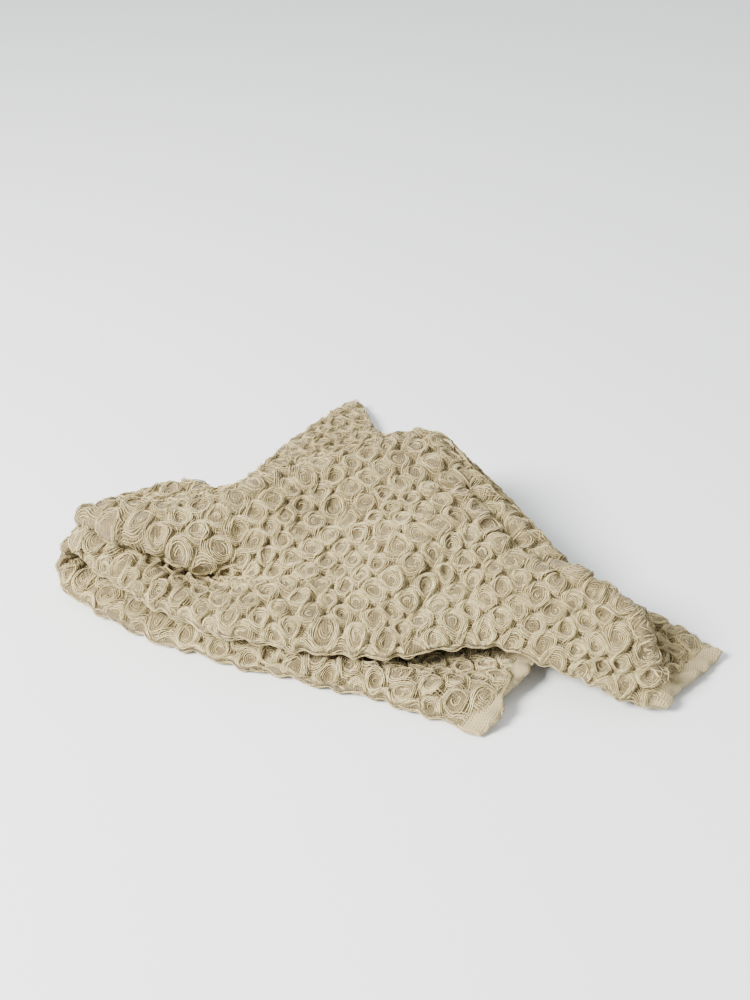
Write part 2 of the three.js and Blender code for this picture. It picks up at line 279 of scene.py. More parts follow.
def laid_flat(grid, first_guess):
    """The sheet opened out flat with as little stretch as it allows, in millimetres."""
    rows = np.linspace(0, len(grid) - 1, FLAT_ROWS).round().astype(int)
    columns = np.linspace(0, grid.shape[1] - 1, FLAT_COLUMNS).round().astype(int)
    spots = grid[np.ix_(rows, columns)].reshape(-1, 3)
    flat = first_guess[np.ix_(rows, columns)].reshape(-1, 2).copy()
    index = np.arange(len(spots)).reshape(FLAT_ROWS, FLAT_COLUMNS)
    a, b, c, d = (x.ravel() for x in (index[:-1, :-1], index[1:, :-1], index[1:, 1:], index[:-1, 1:]))
    corners = np.concatenate([np.stack([a, b, c], 1), np.stack([a, c, d], 1)])
    p0, p1, p2 = (spots[corners[:, n]] for n in range(3))
    side = p1 - p0
    length = np.linalg.norm(side, axis=1)
    ahead = side / length[:, None]
    other = p2 - p0
    along = (other * ahead).sum(1)
    local = np.zeros((len(corners), 3, 2))
    local[:, 1, 0] = length
    local[:, 2, 0] = along
    local[:, 2, 1] = np.linalg.norm(other - along[:, None] * ahead, axis=1)
    pull = np.zeros((len(spots), len(spots)))
    edges = []
    for n in range(3):
        i, k, facing = n, (n + 1) % 3, (n + 2) % 3
        u = local[:, i] - local[:, facing]
        v = local[:, k] - local[:, facing]
        weight = np.maximum((u * v).sum(1) / np.abs(u[:, 0] * v[:, 1] - u[:, 1] * v[:, 0]), LEAST_WEIGHT)
        edges.append((corners[:, i], corners[:, k], weight, local[:, i] - local[:, k]))
        for one, two, way in ((i, i, 1), (k, k, 1), (i, k, -1), (k, i, -1)):
            np.add.at(pull, (corners[:, one], corners[:, two]), way * weight)
    pull[0, 0] += 1
    inverse = np.linalg.inv(pull)
    for _ in range(FLAT_ROUNDS):
        spread = np.zeros((len(corners), 2, 2))
        for i, k, weight, run in edges:
            spread += weight[:, None, None] * (flat[i] - flat[k])[:, :, None] * run[:, None, :]
        turn = np.arctan2(spread[:, 1, 0] - spread[:, 0, 1], spread[:, 0, 0] + spread[:, 1, 1])
        cos, sin = np.cos(turn), np.sin(turn)
        wanted = np.zeros_like(flat)
        for i, k, weight, run in edges:
            turned = np.stack([cos * run[:, 0] - sin * run[:, 1], sin * run[:, 0] + cos * run[:, 1]], 1)
            np.add.at(wanted, i, weight[:, None] * turned)
            np.add.at(wanted, k, -weight[:, None] * turned)
        wanted[0] += flat[0]
        flat = inverse @ wanted
    flat = flat.reshape(FLAT_ROWS, FLAT_COLUMNS, 2)
    flat = smooth_rows(flat, rows.astype(float), np.arange(len(grid), dtype=float), 0)
    return smooth_rows(flat, columns.astype(float), np.arange(grid.shape[1], dtype=float), 1)


ALONG_MM = FROM_START - FROM_START[LOOP_ROW]
FLAT = laid_flat(GRID, np.stack([ALONG_MM, FROM_FRONT], axis=2))
CELL_WAVES = ((34, 0.045), (19, 0.028), (11, 0.014))
CELL_A = FLAT[..., 0] / CELL + wander(FLAT[..., 0], FLAT[..., 1], CELL_WAVES, 5)
CELL_B = FLAT[..., 1] / CELL + wander(FLAT[..., 0], FLAT[..., 1], CELL_WAVES, 6)
SLOPE_A = np.stack(np.gradient(CELL_A), axis=-1)
SLOPE_B = np.stack(np.gradient(CELL_B), axis=-1)

FIELDS = np.concatenate([
    GRID, NORMALS, ALONG, ACROSS,
    np.stack([CELL_A, CELL_B, HEM_AWAY, EDGE_AWAY, FROM_START, FROM_FRONT, TO_END, TO_BACK], axis=2),
], axis=2)
SPOT, NORMAL, RUN, CROSS = slice(0, 3), slice(3, 6), slice(6, 9), slice(9, 12)
A, B, HEM, EDGE, START, FRONT, END, BACK = range(12, 20)


def read_fields(i, j):
    """All the cloth's fields at fractional grid places."""
    i = np.clip(i, 0, LAST_ROW)
    j = np.clip(j, 0, LAST_COLUMN)
    i0 = i.astype(int)
    j0 = j.astype(int)
    s = (i - i0)[..., None]
    t = (j - j0)[..., None]
    low = FIELDS[i0, j0] * (1 - t) + FIELDS[i0, j0 + 1] * t
    high = FIELDS[i0 + 1, j0] * (1 - t) + FIELDS[i0 + 1, j0 + 1] * t
    return low * (1 - s) + high * s


BIN = 0.07
BIN_START = (CELL_A.min(), CELL_B.min())


def guess_table():
    """For each small square of cell counts, a grid place inside it."""
    size = (int((CELL_A.max() - BIN_START[0]) / BIN) + 2, int((CELL_B.max() - BIN_START[1]) / BIN) + 2)
    table = np.full(size + (2,), -1.0)
    i, j = np.meshgrid(np.arange(ROW_COUNT), np.arange(COLUMN_COUNT), indexing="ij")
    x = ((CELL_A - BIN_START[0]) / BIN).astype(int)
    y = ((CELL_B - BIN_START[1]) / BIN).astype(int)
    table[x, y] = np.stack([i, j], axis=-1)
    for axis, way in ((0, 1), (0, -1), (1, 1), (1, -1)):
        near = np.roll(table, way, axis=axis)
        table = np.where((table[..., :1] < 0) & (near[..., :1] >= 0), near, table)
    return table


GUESSES = guess_table()
PLACE_ROUNDS = 6
LONGEST_JUMP = 4
LEAST_SIZE = 1e-7
PLACE_SLACK = 0.02


def slopes_near(i, j):
    """The nearest grid spots, how both cell counts change there, and how large that change is."""
    near = (i.astype(int), j.astype(int))
    slope_a = SLOPE_A[near]
    slope_b = SLOPE_B[near]
    return near, slope_a, slope_b, slope_a[:, 0] * slope_b[:, 1] - slope_a[:, 1] * slope_b[:, 0]


def grid_place(a, b):
    """The grid place of each pair of cell counts, and whether it lies on the cloth."""
    x = np.clip(((a - BIN_START[0]) / BIN).astype(int), 0, GUESSES.shape[0] - 1)
    y = np.clip(((b - BIN_START[1]) / BIN).astype(int), 0, GUESSES.shape[1] - 1)
    guess = GUESSES[x, y]
    known = guess[:, 0] >= 0
    i = np.where(known, guess[:, 0], 0)
    j = np.where(known, guess[:, 1], 0)
    for _ in range(PLACE_ROUNDS):
        fields = read_fields(i, j)
        off_a = fields[:, A] - a
        off_b = fields[:, B] - b
        _, slope_a, slope_b, size = slopes_near(i, j)
        size = np.where(np.abs(size) < LEAST_SIZE, LEAST_SIZE, size)
        jump_i = (slope_b[:, 1] * off_a - slope_a[:, 1] * off_b) / size
        jump_j = (slope_a[:, 0] * off_b - slope_b[:, 0] * off_a) / size
        i = np.clip(i - np.clip(jump_i, -LONGEST_JUMP, LONGEST_JUMP), 0, LAST_ROW)
        j = np.clip(j - np.clip(jump_j, -LONGEST_JUMP, LONGEST_JUMP), 0, LAST_COLUMN)
    fields = read_fields(i, j)
    return i, j, known & (np.hypot(fields[:, A] - a, fields[:, B] - b) < PLACE_SLACK)


# Four chances for each cell, kept by its half counts
TABLE_SIZE = 128
CELL_TABLE = np.random.default_rng(12).uniform(0, 1, (TABLE_SIZE, TABLE_SIZE, 4))


def cell_middles():
    """Both half counts of every cell's middle."""
    twice_a = np.arange(math.floor(CELL_A.min() * 2), math.ceil(CELL_A.max() * 2) + 1)
    twice_b = np.arange(math.floor(CELL_B.min() * 2), math.ceil(CELL_B.max() * 2) + 1)
    x, y = np.meshgrid(twice_a, twice_b, indexing="ij")
    both = (x + y) % 2 == 0
    return x[both], y[both]


ROUND_SHARE = 0.75
STRETCH_POWER = 0.45
STRETCH_LIMITS = (0.6, 1.8)
SAMPLE_OFFSETS = (-0.3, 0, 0.3)
LEAST_SAMPLES = 3
LEAST_SAMPLE_SIZE = 1e-6


def cell_shapes():
    """For each cell, millimetres per count that keep its nest round where the folded cloth is stretched."""
    x, y = cell_middles()
    grid_along = np.gradient(GRID, axis=0)
    grid_across = np.gradient(GRID, axis=1)
    total = np.zeros((len(x), 2, 2))
    found = np.zeros(len(x))
    for off_a in SAMPLE_OFFSETS:
        for off_b in SAMPLE_OFFSETS:
            i, j, good = grid_place(x / 2 + off_a, y / 2 + off_b)
            near, slope_a, slope_b, size = slopes_near(i, j)
            good &= np.abs(size) > LEAST_SAMPLE_SIZE
            size = np.where(good, size, 1)[:, None]
            per_a = (grid_along[near] * slope_b[:, 1:] - grid_across[near] * slope_b[:, :1]) / size
            per_b = (grid_across[near] * slope_a[:, :1] - grid_along[near] * slope_a[:, 1:]) / size
            pair = np.stack([per_a, per_b], axis=1)
            total += np.where(good[:, None, None], pair @ pair.transpose(0, 2, 1), 0)
            found += good
    metric = total / np.maximum(found, 1)[:, None, None]
    metric[found <= LEAST_SAMPLES] = np.eye(2) * CELL ** 2
    area = np.sqrt(np.maximum(metric[:, 0, 0] * metric[:, 1, 1] - metric[:, 0, 1] ** 2, 1))
    spread = np.sqrt(metric[:, 0, 0] + metric[:, 1, 1] + 2 * area)
    unit = (metric + area[:, None, None] * np.eye(2)) / (spread * np.sqrt(area))[:, None, None]
    unit = ROUND_SHARE * unit + (1 - ROUND_SHARE) * np.eye(2)
    stretch = np.clip(np.sqrt(area) / CELL, *STRETCH_LIMITS) ** STRETCH_POWER
    shapes = np.tile(np.eye(2) * CELL, (TABLE_SIZE, TABLE_SIZE, 1, 1))
    shapes[x % TABLE_SIZE, y % TABLE_SIZE] = unit * (CELL * stretch)[:, None, None]
    return shapes


CELL_SHAPES = cell_shapes()


def nearest_cell(a, b):
    """Offset from the nearest cell's middle in millimetres, and that cell's four chances."""
    whole = (np.round(a), np.round(b))
    half = (np.floor(a) + 0.5, np.floor(b) + 0.5)
    near = np.hypot(a - half[0], b - half[1]) < np.hypot(a - whole[0], b - whole[1])
    middle_a = np.where(near, half[0], whole[0])
    middle_b = np.where(near, half[1], whole[1])
    at = ((2 * middle_a).astype(int) % TABLE_SIZE, (2 * middle_b).astype(int) % TABLE_SIZE)
    shape = CELL_SHAPES[at]
    off_a = a - middle_a
    off_b = b - middle_b
    x = shape[..., 0, 0] * off_a + shape[..., 0, 1] * off_b
    y = shape[..., 1, 0] * off_a + shape[..., 1, 1] * off_b
    return x, y, CELL_TABLE[at]


# Height of the cloth across a cell: distance from the middle, height
CELL_REACH = (0, 0.9, 1.6, 2.2, 2.8, 3.3, 3.8, 4.3, 5.2)
CELL_HEIGHT = (0.2, 0.22, 0.3, 0.55, 0.85, 0.8, 0.25, -0.55, -1.1)
DOME_HEIGHT = 0.9
DOME_SHARE = 0.45
DOME_REACH = 2.5
HOLLOW_DEPTH = 1.1
HOLLOW_SHARE = 0.28
CELL_LEAN = 0.1
FRONT_LEAN = 0.09
LEAN_REACH = 4.4
OVAL_SHARE = 0.06
LEAST_CELL_SIZE = 0.86
CELL_SIZE_SPREAD = 0.28
LEAST_RELIEF = 0.8
RELIEF_SPREAD = 0.4
WAFFLE_FADE = 2.5
SELVEDGE_RELIEF = 0.55


def cell_size(chances):
    return LEAST_CELL_SIZE + CELL_SIZE_SPREAD * chances[..., 0]


def cell_height(a, b):
    x, y, chances = nearest_cell(a, b)
    tilt = math.tau * chances[..., 1]
    reach = np.hypot(x, y) / cell_size(chances)
    reach = reach * (1 + OVAL_SHARE * np.cos(2 * np.arctan2(y, x) + tilt))
    height = np.interp(reach, CELL_REACH, CELL_HEIGHT)
    middle = np.where(chances[..., 2] < DOME_SHARE, DOME_HEIGHT, 0)
    middle = np.where(chances[..., 2] > 1 - HOLLOW_SHARE, -HOLLOW_DEPTH, middle)
    dome = middle * np.clip(1 - reach / DOME_REACH, 0, 1)
    lean = CELL_LEAN * (x * np.cos(tilt) + y * np.sin(tilt)) - FRONT_LEAN * y
    relief = (height + dome) * (LEAST_RELIEF + RELIEF_SPREAD * chances[..., 3])
    return relief + lean * np.clip(LEAN_REACH - reach, 0, 1)


def plain_share(fields):
    """How much of the waffle stands at a spot: none in the hems, less right at the selvedges."""
    hem = np.clip((fields[..., HEM] - HEM_WIDTH) / WAFFLE_FADE, 0, 1)
    edge = np.clip(SELVEDGE_RELIEF + fields[..., EDGE] / WAFFLE_FADE, 0, 1)
    return hem * edge


UNDER_LIMIT = 0.35
RIM_ROUNDING = 2.2
RIM_THICKNESS = 0.28
HEM_FADE = 2.0
HEM_THINNING = 0.25
SEAM_DEPTH = 0.35
SEAM_WIDTH = 0.6


def cloth_point(fields, side, raised, lift=0.0):
    """A spot on the upper or under face, with the waffle raised there or not."""
    half = SHEET_THICKNESS / 2
    rim = np.minimum(fields[..., EDGE], fields[..., HEM])
    taper = np.sqrt(np.clip(1 - (1 - np.clip(rim / RIM_ROUNDING, 0, 1)) ** 2, 0, 1))
    depth = half * (RIM_THICKNESS + (1 - RIM_THICKNESS) * taper)
    past_hem = fields[..., HEM] - HEM_WIDTH
    depth = depth * (1 - HEM_THINNING * (1 - np.clip(past_hem / HEM_FADE, 0, 1)))
    seam = -SEAM_DEPTH * np.exp(-(((past_hem + SEAM_WIDTH) / SEAM_WIDTH) ** 2))
    relief = raised * (plain_share(fields) * cell_height(fields[..., A], fields[..., B]) + seam)
    height = np.maximum(depth + relief, UNDER_LIMIT) + lift
    spot = sheet_spot(fields) + side * height[..., None] * fields[..., NORMAL]
    return rested(spot)


HEM_WAVE = 0.75
HEM_WAVE_REACH = 11
CURL_HEIGHT = 3.2
CURL_REACH = 13
CURL_PLACE = 19
CURL_WIDTH = 7.5
CURL_POWER = 1.6
ROLL_REACH = 5
ROLL_SHARE = 1.6


def sheet_spot(fields):
    """The middle of the sheet with its uneven edges, its wavy hems and one curled corner."""
    near = np.clip(1 - fields[..., HEM] / HEM_WAVE_REACH, 0, 1)
    front = fields[..., FRONT]
    wave = HEM_WAVE * near * (np.sin(front * 0.82 + 0.4) + 0.7 * np.sin(front * 0.37 + 2))
    curl = np.clip(1 - fields[..., START] / CURL_REACH, 0, 1) ** CURL_POWER
    curl = curl * np.exp(-(((front - CURL_PLACE) / CURL_WIDTH) ** 2))
    spot = fields[..., SPOT] + scallop(fields) + wave[..., None] * fields[..., NORMAL]
    spot[..., 2] += CURL_HEIGHT * curl
    spot[..., 0] -= ROLL_SHARE * CURL_HEIGHT * curl * np.clip(1 - fields[..., START] / ROLL_REACH, 0, 1)
    return spot


# Waves along the selvedges and the hems: the regular one's height, then height, turns a cell and start
SELVEDGE_SCALLOP = 0.5
SELVEDGE_WAVES = ((0.4, 0.37, 1), (0.25, 1.63, 0))
HEM_SCALLOP = 0.8
HEM_WAVES = ((0.3, 0.41, 0),)
SELVEDGE_SCALLOP_REACH = 3.5
HEM_SCALLOP_REACH = 3.0
CORNER_REACH = 4


def swayed(push, count, waves):
    for height, turns, start in waves:
        push = push + height * np.sin(math.tau * turns * count + start)
    return push


def scallop(fields):
    """The uneven edge of the cloth, pushed in and out within its own surface."""
    a, b = fields[..., A], fields[..., B]
    fade_front = np.exp(-fields[..., FRONT] / SELVEDGE_SCALLOP_REACH)
    fade_back = np.exp(-fields[..., BACK] / SELVEDGE_SCALLOP_REACH)
    fade_start = np.exp(-fields[..., START] / HEM_SCALLOP_REACH)
    fade_end = np.exp(-fields[..., END] / HEM_SCALLOP_REACH)
    aside = swayed(SELVEDGE_SCALLOP * np.cos(math.tau * a), a, SELVEDGE_WAVES)
    ahead = swayed(HEM_SCALLOP * np.abs(np.sin(math.tau * b)) - HEM_SCALLOP / 2, b, HEM_WAVES)
    off_hem = np.clip(fields[..., HEM] / CORNER_REACH, 0, 1)
    off_edge = np.clip(fields[..., EDGE] / CORNER_REACH, 0, 1)
    aside = (aside * (fade_back - fade_front) * off_hem)[..., None]
    ahead = (ahead * (fade_end - fade_start) * off_edge)[..., None]
    return aside * fields[..., CROSS] + ahead * fields[..., RUN]


def rested(spot):
    spot = spot.copy()
    spot[..., 2] = np.maximum(spot[..., 2], 0)
    return spot


# Joined meshes

def make_object(name, points, faces, corner_maps=()):
    """A mesh object from points in millimetres. A corner map is a name and a pair of values a point."""
    mesh = bpy.data.meshes.new(name)
    points = np.asarray(points, np.float32) * MM
    faces = np.asarray(faces, np.int32)
    mesh.vertices.add(len(points))
    mesh.vertices.foreach_set("co", points.ravel())
    sides = np.where(faces[:, 3] < 0, 3, 4)
    mesh.loops.add(int(sides.sum()))
    flat = faces.ravel()
    flat = flat[flat >= 0]
    mesh.loops.foreach_set("vertex_index", flat)
    mesh.polygons.add(len(faces))
    mesh.polygons.foreach_set("loop_start", np.concatenate([[0], np.cumsum(sides)[:-1]]).astype(np.int32))
    mesh.polygons.foreach_set("use_smooth", np.ones(len(faces), bool))
    mesh.update(calc_edges=True)
    for label, values in corner_maps:
        layer = mesh.uv_layers.new(name=label)
        layer.data.foreach_set("uv", np.asarray(values, np.float32)[flat].ravel())
    mesh.validate()
    made = bpy.data.objects.new(name, mesh)
    bpy.context.scene.collection.objects.link(made)
    return made


def zipped(left, left_places, right, right_places):
    """Triangles between two lines of vertices that have different counts."""
    faces = []
    i = 0
    k = 0
    while i < len(left) - 1 or k < len(right) - 1:
        go_left = k == len(right) - 1 or (
            i < len(left) - 1 and left_places[i + 1] <= right_places[k + 1])
        if go_left:
            faces.append((left[i], left[i + 1], right[k], -1))
            i += 1
        else:
            faces.append((left[i], right[k + 1], right[k], -1))
            k += 1
    return faces


def quads(index):
    """Faces of a grid of vertex numbers."""
    corners = [index[:-1, :-1], index[1:, :-1], index[1:, 1:], index[:-1, 1:]]
    return np.stack(corners, axis=-1).reshape(-1, 4)


FINE_STEP = 0.92
OUTER_FINE_START = LOOP_START - 8
INNER_FINE_END = UPPER_START - 8
FRONT_STRIP_SHARE = 0.34
WIDE_COLUMNS = 206
COARSE_COLUMNS = 22
STRIP_COLUMNS = 44
PAST_STRIP_COLUMNS = 14
FRONT_RIM_COLUMNS = (0.004, 0.009)
BACK_RIM_COLUMNS = (0.991, 0.996)
RIM_ROWS = (0, 0.4, 0.9)
FIRST_EVEN_ROW = 1.6
RIM_BULGE = 0.55
RIM_MAP_SCALE = 10


def column_places(count, start, end):
    """Column places from 0 to 1, closer together at the cloth's own edges."""
    places = list(np.linspace(start, end, count))
    if start == 0:
        places += FRONT_RIM_COLUMNS
    if end == 1:
        places += BACK_RIM_COLUMNS
    return np.array(sorted(set(places)))


def build_cloth():
    length = ROWS[-1]
    even_rows = np.linspace(FIRST_EVEN_ROW, length - FIRST_EVEN_ROW, int(length / FINE_STEP))
    end_rows = [length - row for row in reversed(RIM_ROWS)]
    row_places = np.concatenate([RIM_ROWS, even_rows, end_rows]) / length * (ROW_COUNT - 1)
    at_mm = row_places / (ROW_COUNT - 1) * length
    points = []
    maps = []
    rims = []
    faces = []
    count = 0

    def keep(spots, fields):
        nonlocal count
        points.append(spots.reshape(-1, 3))
        maps.append(fields[..., (A, B)].reshape(-1, 2))
        rims.append(fields[..., (HEM, EDGE)].reshape(-1, 2))
        shape = spots.shape[:-1]
        index = count + np.arange(math.prod(shape)).reshape(shape)
        count += index.size
        return index

    def face_grid(rows, columns, side, raised):
        i, j = np.meshgrid(rows, columns * (COLUMN_COUNT - 1), indexing="ij")
        fields = read_fields(i, j)
        return keep(cloth_point(fields, side, raised), fields)

    def rim_line(i, j, outward_run, outward_cross):
        fields = read_fields(i, j)
        outward = outward_run[:, None] * fields[..., RUN] + outward_cross[:, None] * fields[..., CROSS]
        return keep(rested(sheet_spot(fields) + RIM_BULGE * outward), fields)

    wide = column_places(WIDE_COLUMNS, 0, 1)
    coarse = column_places(COARSE_COLUMNS, 0, 1)
    strip = np.concatenate([column_places(STRIP_COLUMNS, 0, FRONT_STRIP_SHARE),
                            column_places(PAST_STRIP_COLUMNS, FRONT_STRIP_SHARE, 1)[1:]])
    outer_split = int(np.searchsorted(at_mm, OUTER_FINE_START))
    inner_split = int(np.searchsorted(at_mm, INNER_FINE_END))
    upper_low = face_grid(row_places[:outer_split], coarse, 1, 0.0)
    upper_high = face_grid(row_places[outer_split:], wide, 1, 1.0)
    under_low = face_grid(row_places[:inner_split], strip, -1, 1.0)
    under_high = face_grid(row_places[inner_split:], coarse, -1, 0.0)
    for index in (upper_low, upper_high):
        faces += quads(index).tolist()
    for index in (under_low, under_high):
        faces += quads(index)[:, ::-1].tolist()
    faces += zipped(upper_low[-1], coarse, upper_high[0], wide)
    faces += zipped(under_low[-1], strip, under_high[0], coarse)
    last = float(ROW_COUNT - 1)
    far = float(COLUMN_COUNT - 1)
    none = np.zeros(len(row_places))
    front_run = none.copy()
    front_run[0], front_run[-1] = -1, 1
    front = rim_line(row_places, none, front_run, none - 1)
    back = rim_line(row_places, none + far, front_run, none + 1)
    start_columns = strip[1:-1]
    end_columns = coarse[1:-1]
    at_start = start_columns * 0
    at_end = end_columns * 0
    start_mid = rim_line(at_start, start_columns * far, at_start - 1, at_start)
    end_mid = rim_line(at_end + last, end_columns * far, at_end + 1, at_end)
    start_line = [front[0], *start_mid, back[0]]
    end_line = [front[-1], *end_mid, back[-1]]
    for side, rim in ((0, front), (-1, back)):
        for layers in ((upper_low, upper_high), (under_low, under_high)):
            line = np.concatenate([layer[:, side] for layer in layers])
            faces += quads(np.stack([line, rim])).tolist()
    faces += zipped(upper_low[0], coarse, start_line, strip)
    faces += zipped(under_low[0], strip, start_line, strip)
    faces += zipped(upper_high[-1], wide, end_line, coarse)
    faces += zipped(under_high[-1], coarse, end_line, coarse)
    corner_maps = (("cells", np.concatenate(maps)), ("rims", np.concatenate(rims) / RIM_MAP_SCALE))
    cloth = make_object("towel_cloth", np.concatenate(points), faces, corner_maps)
    face_outward(cloth)
    return cloth


def face_outward(made):
    bpy.ops.object.select_all(action="DESELECT")
    made.select_set(True)
    bpy.context.view_layer.objects.active = made
    bpy.ops.object.mode_set(mode="EDIT")
    bpy.ops.mesh.select_all(action="SELECT")
    bpy.ops.mesh.normals_make_consistent(inside=False)
    bpy.ops.object.mode_set(mode="OBJECT")
    made.select_set(False)


# Yarns

YARN_RADIUS = 0.155
STEP_IN_CELLS = 0.09
YARN_SPACING = 0.51
YARNS_A_BUNDLE = 5
BUNDLE_SWING = 1.02
CROSSING_LIFT = 0.4
YARN_SIT = 0.2
LEAST_POINTS = 4
LONGEST_STEP = 4.2
BUNDLE_SEED = 9000
STRAND_SEED = 1000
BUNDLE_DRIFT = 0.14
STRAND_DRIFT = 0.035
DRIFT_LENGTHS = (0.55, 0.8, 1.3, 2.1)
DRIFT_PLACES = np.arange(-60, 60, 0.05)


def drift_table(seed, swing):
    """Small sideways wandering of a strand or a bundle, along its count of cells."""
    chance = np.random.default_rng(seed)
    total = np.zeros_like(DRIFT_PLACES)
    for length in DRIFT_LENGTHS:
        ahead = math.tau * DRIFT_PLACES / (length * chance.uniform(0.85, 1.2))
        total += swing * np.sin(ahead + chance.uniform(0, 9))
    return total


def long_yarns(family):
    """Snaking strands of one family, as cell counts, with how far each spot lifts at the crossings."""
    lines = []
    weft = family == "weft"
    own_counts, far_counts = (CELL_B, CELL_A) if weft else (CELL_A, CELL_B)
    other = np.arange(far_counts.min(), far_counts.max(), STEP_IN_CELLS)
    for number in range(math.floor(own_counts.min() * 2), math.ceil(own_counts.max() * 2) + 1):
        even = number % 2 == 0
        snake = np.cos(math.tau * (other - (0 if even else 0.5))) * BUNDLE_SWING
        sign = 1 if even == weft else -1
        lift = sign * CROSSING_LIFT * np.sin(math.tau * other)
        together = drift_table(BUNDLE_SEED + 10 * number, BUNDLE_DRIFT)
        for strand in range(YARNS_A_BUNDLE):
            off = (strand - (YARNS_A_BUNDLE - 1) / 2) * YARN_SPACING
            alone = drift_table(STRAND_SEED + 10 * number + strand, STRAND_DRIFT)
            drift = np.interp(other, DRIFT_PLACES, together + alone)
            own = number / 2 + 0.25 + (snake + off + drift) / CELL
            lines.append((other, own, lift) if weft else (own, other, lift))
    return lines


# Each ring of a nest: how far out it lies, and how often it is missing
RINGS = (
    (3.75, 0.2), (3.3, 0.03), (2.85, 0.03), (2.4, 0.05),
    (1.95, 0.08), (1.5, 0.1), (1.05, 0.15), (0.55, 0.3),
)
RING_STEP = 0.9
RING_SPREAD = 0.45
RING_TURN = (0.72, 0.98)
RING_DRAWN_IN = (0.1, 0.55)
LEAST_RING_POINTS = 7


def ring_yarns():
    """Bundles of open rings round each nest, as cell counts."""
    lines = []
    for twice_a, twice_b in zip(*cell_middles()):
        at = (twice_a % TABLE_SIZE, twice_b % TABLE_SIZE)
        chance = CELL_TABLE[at]
        to_counts = np.linalg.inv(CELL_SHAPES[at])
        own = np.random.default_rng((twice_a + 500) * 997 + twice_b + 500)
        size = float(cell_size(chance))
        opening = own.uniform(0, math.tau)
        wave = own.uniform(0, 6)
        drawn_in = own.uniform(*RING_DRAWN_IN)
        for number, (ring, missing) in enumerate(RINGS):
            if own.random() < missing:
                continue
            turn = own.uniform(*RING_TURN) * math.tau
            share = np.linspace(0, 1, max(LEAST_RING_POINTS, int(ring * turn / RING_STEP)))
            angle = opening + own.uniform(-RING_SPREAD, RING_SPREAD) + turn * share
            reach = ring * size * (1 + OVAL_SHARE * np.cos(2 * angle + math.tau * chance[1]))
            uneven = 0.14 * np.sin(3 * angle + wave) + 0.03 * np.sin(5 * angle + number)
            reach += uneven + drawn_in * (share - 0.5)
            spots = to_counts @ np.stack([reach * np.cos(angle), reach * np.sin(angle)])
            lift = 0.05 + 0.16 * np.clip(ring - 2.6, 0, 1) + 0.06 * np.sin(4 * angle + wave)
            lines.append((twice_a / 2 + spots[0], twice_b / 2 + spots[1], lift))
    return lines


def laid_yarns(lines, side, region, raised=1.0):
    """Lines of cell counts laid on one face of the cloth, where the region wants them."""
    a = np.concatenate([line[0] for line in lines])
    b = np.concatenate([line[1] for line in lines])
    i, j, good = grid_place(a, b)
    good &= region(i, j)
    made = []
    at = 0
    for number, line in enumerate(lines):
        span = slice(at, at + len(line[0]))
        at += len(line[0])
        for start, end in stretches(good[span]):
            own = slice(span.start + start, span.start + end)
            strand = laid_strand(i[own], j[own], line[2][start:end], number, side, raised)
            steps = np.linalg.norm(np.diff(strand[0], axis=0), axis=1)
            for first, last in stretches(np.concatenate([[True], steps < LONGEST_STEP])):
                made.append([part[first:last] for part in strand])
    return made


def stretches(good):
    """Unbroken runs of places that are on the cloth."""
    marks = np.flatnonzero(np.diff(np.concatenate([[0], good.astype(int), [0]])))
    return [(start, end) for start, end in zip(marks[::2], marks[1::2]) if end - start >= LEAST_POINTS]


NEAR_EDGE = 0.9
EDGE_SINK = 0.35
END_SINK = 0.95
SINK_REACH = 1.4
BOB_HEIGHT = 0.1


def laid_strand(i, j, lift, number, side, raised):
    """The spots of one strand on the cloth. Its ends sink into the cloth."""
    fields = read_fields(i, j)
    steps = np.linalg.norm(np.diff(fields[:, SPOT], axis=0), axis=1)
    marks = np.concatenate([[0], np.cumsum(steps)])
    bob = BOB_HEIGHT * np.sin(marks * 0.9 + number * 1.7)
    end_away = np.minimum(marks, marks[-1] - marks)
    deepest = EDGE_SINK if fields[[0, -1], EDGE].min() < NEAR_EDGE else END_SINK
    sink = -deepest * np.clip(1 - end_away / SINK_REACH, 0, 1) ** 2
    spots = cloth_point(fields, side, raised, YARN_SIT + lift + bob + sink)
    return spots, side * fields[:, NORMAL], marks


def resampled(i, j, step):
    """Even steps along a line of grid places, by the length on the cloth."""
    spots = read_fields(i, j)[:, SPOT]
    reach = np.concatenate([[0], np.cumsum(np.linalg.norm(np.diff(spots, axis=0), axis=1))])
    marks = np.linspace(0, reach[-1], int(round(reach[-1] / step)) + 1)
    return np.interp(marks, reach, i), np.interp(marks, reach, j), marks


RIM_REACH = 0.8
RIM_TURNS = (76, 50, 24, -2, -28, -54)
RIM_STEP = 0.9
RIM_JITTER = 18
RIM_TWIST = 1.1


def rim_yarns():
    """Short strands that lap round the two selvedges, one after another."""
    lines = []
    chance = np.random.default_rng(41)
    rows = np.arange(ROW_COUNT, dtype=float)
    for column, way in ((0.0, -1), (LAST_COLUMN, 1)):
        i, j, marks = resampled(rows, rows * 0 + column, RIM_STEP)
        for strand, turn in enumerate(RIM_TURNS):
            at = int(chance.integers(0, 6))
            while at < len(i) - 8:
                count = int(chance.integers(5, 10))
                span = slice(at, min(at + count, len(i)))
                fields = read_fields(i[span], j[span])
                share = np.linspace(0, 1, len(fields))
                tilt = math.radians(turn + chance.uniform(-RIM_JITTER, RIM_JITTER))
                angle = tilt + chance.uniform(-RIM_TWIST, RIM_TWIST) * (share - 0.5)
                outward = np.cos(angle)[:, None] * way * fields[:, CROSS]
                outward = outward + np.sin(angle)[:, None] * fields[:, NORMAL]
                arch = RIM_REACH * (0.45 + 0.75 * np.sin(math.pi * share) ** 0.7)
                spots = rested(sheet_spot(fields) + arch[:, None] * outward)
                spots[:, 2] = np.maximum(spots[:, 2], YARN_RADIUS)
                lines.append((spots, outward, marks[span]))
                at += count - int(chance.integers(0, 3))
    return lines


